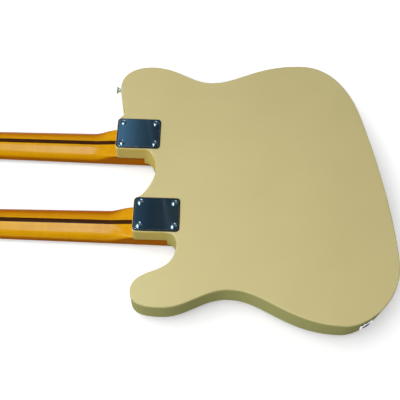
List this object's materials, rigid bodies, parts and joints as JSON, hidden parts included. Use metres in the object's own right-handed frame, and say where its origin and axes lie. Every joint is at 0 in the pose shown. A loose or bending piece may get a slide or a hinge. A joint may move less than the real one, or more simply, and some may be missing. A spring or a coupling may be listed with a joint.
{
  "type": "double-neck guitar",
  "caption": "Solid-body electric guitar with twin bolt-on six-string necks on one cream body, lying face down; knobs, switches and geared tuners turn.",
  "frame": {"origin": "middle of the guitar's outline in plan, on the table that it lies on face down", "axes": "+X from the headstocks to the tail, +Y to the bass side, +Z out of the back"},
  "size_m": [0.9792, 0.4416, 0.0648],
  "materials": {
    "lacquer": "gloss cream lacquer on solid wood",
    "maple": "gloss amber lacquer on maple",
    "walnut": "gloss lacquer on walnut",
    "bone": "polished bone",
    "steel": "plain steel",
    "chrome": "polished chrome plate",
    "brass": "turned brass",
    "black_plastic": "gloss black"
  },
  "bodies": {
    "root": {"body": "lacquer", "bridge_lower": "chrome", "bridge_pickup_lower": "black_plastic", "bridge_pickup_upper": "black_plastic", "bridge_upper": "chrome", "control_plate": "chrome", "jack_cup": "chrome", "jack_socket": "steel", "neck_lower": "maple", "neck_pickup_lower": "chrome", "neck_pickup_upper": "chrome", "neck_plate_lower": "chrome", "neck_plate_upper": "chrome", "neck_selector_body": "steel", "neck_upper": "maple", "nut_lower": "bone", "nut_upper": "bone", "pickguard": "black_plastic", "pickup_switch_frame": "steel", "saddle_strings_lower_1": "brass", "saddle_strings_lower_2": "brass", "saddle_strings_lower_3": "brass", "saddle_strings_upper_1": "brass", "saddle_strings_upper_2": "brass", "saddle_strings_upper_3": "brass", "skunk_stripe_lower": "walnut", "skunk_stripe_upper": "walnut", "strap_button": "chrome", "truss_rod_lower": "steel", "truss_rod_upper": "steel", "tuner_strip_lower": "chrome", "tuner_strip_upper": "chrome"},
    "volume_knob": {"volume_knob": "chrome"},
    "tone_knob": {"tone_knob": "chrome"},
    "pickup_switch_lever": {"pickup_switch_lever": "black_plastic"},
    "neck_selector_lever": {"neck_selector_lever": "chrome"},
    "tuning_key_upper_1": {"tuning_key_upper_1": "chrome"},
    "string_post_upper_1": {"string_post_upper_1": "chrome"},
    "tuning_key_upper_2": {"tuning_key_upper_2": "chrome"},
    "string_post_upper_2": {"string_post_upper_2": "chrome"},
    "tuning_key_upper_3": {"tuning_key_upper_3": "chrome"},
    "string_post_upper_3": {"string_post_upper_3": "chrome"},
    "tuning_key_upper_4": {"tuning_key_upper_4": "chrome"},
    "string_post_upper_4": {"string_post_upper_4": "chrome"},
    "tuning_key_upper_5": {"tuning_key_upper_5": "chrome"},
    "string_post_upper_5": {"string_post_upper_5": "chrome"},
    "tuning_key_upper_6": {"tuning_key_upper_6": "chrome"},
    "string_post_upper_6": {"string_post_upper_6": "chrome"},
    "tuning_key_lower_1": {"tuning_key_lower_1": "chrome"},
    "string_post_lower_1": {"string_post_lower_1": "chrome"},
    "tuning_key_lower_2": {"tuning_key_lower_2": "chrome"},
    "string_post_lower_2": {"string_post_lower_2": "chrome"},
    "tuning_key_lower_3": {"tuning_key_lower_3": "chrome"},
    "string_post_lower_3": {"string_post_lower_3": "chrome"},
    "tuning_key_lower_4": {"tuning_key_lower_4": "chrome"},
    "string_post_lower_4": {"string_post_lower_4": "chrome"},
    "tuning_key_lower_5": {"tuning_key_lower_5": "chrome"},
    "string_post_lower_5": {"string_post_lower_5": "chrome"},
    "tuning_key_lower_6": {"tuning_key_lower_6": "chrome"},
    "string_post_lower_6": {"string_post_lower_6": "chrome"}
  },
  "joints": [
    {"name": "volume_turn", "type": "hinge", "parent": "root", "child": "volume_knob", "pos_m": [0.37132, -0.14075, 0.00775], "axis": [0, 0, 1], "range_deg": [-150, 150]},
    {"name": "tone_turn", "type": "hinge", "parent": "root", "child": "tone_knob", "pos_m": [0.41732, -0.14075, 0.00775], "axis": [0, 0, 1], "range_deg": [-150, 150]},
    {"name": "pickup_switch_tilt", "type": "hinge", "parent": "root", "child": "pickup_switch_lever", "pos_m": [0.31432, -0.14075, 0.0295], "axis": [0, 1, 0], "range_deg": [-15, 15]},
    {"name": "neck_selector_tilt", "type": "hinge", "parent": "root", "child": "neck_selector_lever", "pos_m": [0.21932, 0.00525, 0.0176], "axis": [1, 0, 0], "range_deg": [-11, 11]},
    {"name": "tuning_key_upper_1_turn", "type": "hinge", "parent": "root", "child": "tuning_key_upper_1", "pos_m": [-0.34107, 0.09871, 0.0364], "axis": [-0.2844, 0.9587, 0], "continuous": true},
    {"name": "string_post_upper_1_turn", "type": "hinge", "parent": "root", "child": "string_post_upper_1", "pos_m": [-0.34768, 0.09675, 0.0364], "axis": [0, 0, 1], "continuous": true},
    {"name": "tuning_key_upper_2_turn", "type": "hinge", "parent": "root", "child": "tuning_key_upper_2", "pos_m": [-0.36467, 0.09171, 0.0364], "axis": [-0.2844, 0.9587, 0], "continuous": true},
    {"name": "string_post_upper_2_turn", "type": "hinge", "parent": "root", "child": "string_post_upper_2", "pos_m": [-0.37128, 0.08975, 0.0364], "axis": [0, 0, 1], "continuous": true},
    {"name": "tuning_key_upper_3_turn", "type": "hinge", "parent": "root", "child": "tuning_key_upper_3", "pos_m": [-0.38827, 0.08471, 0.0364], "axis": [-0.2844, 0.9587, 0], "continuous": true},
    {"name": "string_post_upper_3_turn", "type": "hinge", "parent": "root", "child": "string_post_upper_3", "pos_m": [-0.39488, 0.08275, 0.0364], "axis": [0, 0, 1], "continuous": true},
    {"name": "tuning_key_upper_4_turn", "type": "hinge", "parent": "root", "child": "tuning_key_upper_4", "pos_m": [-0.41187, 0.07771, 0.0364], "axis": [-0.2844, 0.9587, 0], "continuous": true},
    {"name": "string_post_upper_4_turn", "type": "hinge", "parent": "root", "child": "string_post_upper_4", "pos_m": [-0.41848, 0.07575, 0.0364], "axis": [0, 0, 1], "continuous": true},
    {"name": "tuning_key_upper_5_turn", "type": "hinge", "parent": "root", "child": "tuning_key_upper_5", "pos_m": [-0.43547, 0.07071, 0.0364], "axis": [-0.2844, 0.9587, 0], "continuous": true},
    {"name": "string_post_upper_5_turn", "type": "hinge", "parent": "root", "child": "string_post_upper_5", "pos_m": [-0.44208, 0.06875, 0.0364], "axis": [0, 0, 1], "continuous": true},
    {"name": "tuning_key_upper_6_turn", "type": "hinge", "parent": "root", "child": "tuning_key_upper_6", "pos_m": [-0.45907, 0.06371, 0.0364], "axis": [-0.2844, 0.9587, 0], "continuous": true},
    {"name": "string_post_upper_6_turn", "type": "hinge", "parent": "root", "child": "string_post_upper_6", "pos_m": [-0.46568, 0.06175, 0.0364], "axis": [0, 0, 1], "continuous": true},
    {"name": "tuning_key_lower_1_turn", "type": "hinge", "parent": "root", "child": "tuning_key_lower_1", "pos_m": [-0.30657, -0.03979, 0.0364], "axis": [-0.2844, 0.9587, 0], "continuous": true},
    {"name": "string_post_lower_1_turn", "type": "hinge", "parent": "root", "child": "string_post_lower_1", "pos_m": [-0.31318, -0.04175, 0.0364], "axis": [0, 0, 1], "continuous": true},
    {"name": "tuning_key_lower_2_turn", "type": "hinge", "parent": "root", "child": "tuning_key_lower_2", "pos_m": [-0.33017, -0.04679, 0.0364], "axis": [-0.2844, 0.9587, 0], "continuous": true},
    {"name": "string_post_lower_2_turn", "type": "hinge", "parent": "root", "child": "string_post_lower_2", "pos_m": [-0.33678, -0.04875, 0.0364], "axis": [0, 0, 1], "continuous": true},
    {"name": "tuning_key_lower_3_turn", "type": "hinge", "parent": "root", "child": "tuning_key_lower_3", "pos_m": [-0.35377, -0.05379, 0.0364], "axis": [-0.2844, 0.9587, 0], "continuous": true},
    {"name": "string_post_lower_3_turn", "type": "hinge", "parent": "root", "child": "string_post_lower_3", "pos_m": [-0.36038, -0.05575, 0.0364], "axis": [0, 0, 1], "continuous": true},
    {"name": "tuning_key_lower_4_turn", "type": "hinge", "parent": "root", "child": "tuning_key_lower_4", "pos_m": [-0.37737, -0.06079, 0.0364], "axis": [-0.2844, 0.9587, 0], "continuous": true},
    {"name": "string_post_lower_4_turn", "type": "hinge", "parent": "root", "child": "string_post_lower_4", "pos_m": [-0.38398, -0.06275, 0.0364], "axis": [0, 0, 1], "continuous": true},
    {"name": "tuning_key_lower_5_turn", "type": "hinge", "parent": "root", "child": "tuning_key_lower_5", "pos_m": [-0.40097, -0.06779, 0.0364], "axis": [-0.2844, 0.9587, 0], "continuous": true},
    {"name": "string_post_lower_5_turn", "type": "hinge", "parent": "root", "child": "string_post_lower_5", "pos_m": [-0.40758, -0.06975, 0.0364], "axis": [0, 0, 1], "continuous": true},
    {"name": "tuning_key_lower_6_turn", "type": "hinge", "parent": "root", "child": "tuning_key_lower_6", "pos_m": [-0.42457, -0.07479, 0.0364], "axis": [-0.2844, 0.9587, 0], "continuous": true},
    {"name": "string_post_lower_6_turn", "type": "hinge", "parent": "root", "child": "string_post_lower_6", "pos_m": [-0.43118, -0.07675, 0.0364], "axis": [0, 0, 1], "continuous": true}
  ],
  "couplings": [
    {"joint": "string_post_upper_1_turn", "follows": "tuning_key_upper_1_turn", "ratio": 0.071429},
    {"joint": "string_post_upper_2_turn", "follows": "tuning_key_upper_2_turn", "ratio": 0.071429},
    {"joint": "string_post_upper_3_turn", "follows": "tuning_key_upper_3_turn", "ratio": 0.071429},
    {"joint": "string_post_upper_4_turn", "follows": "tuning_key_upper_4_turn", "ratio": 0.071429},
    {"joint": "string_post_upper_5_turn", "follows": "tuning_key_upper_5_turn", "ratio": 0.071429},
    {"joint": "string_post_upper_6_turn", "follows": "tuning_key_upper_6_turn", "ratio": 0.071429},
    {"joint": "string_post_lower_1_turn", "follows": "tuning_key_lower_1_turn", "ratio": 0.071429},
    {"joint": "string_post_lower_2_turn", "follows": "tuning_key_lower_2_turn", "ratio": 0.071429},
    {"joint": "string_post_lower_3_turn", "follows": "tuning_key_lower_3_turn", "ratio": 0.071429},
    {"joint": "string_post_lower_4_turn", "follows": "tuning_key_lower_4_turn", "ratio": 0.071429},
    {"joint": "string_post_lower_5_turn", "follows": "tuning_key_lower_5_turn", "ratio": 0.071429},
    {"joint": "string_post_lower_6_turn", "follows": "tuning_key_lower_6_turn", "ratio": 0.071429}
  ]
}
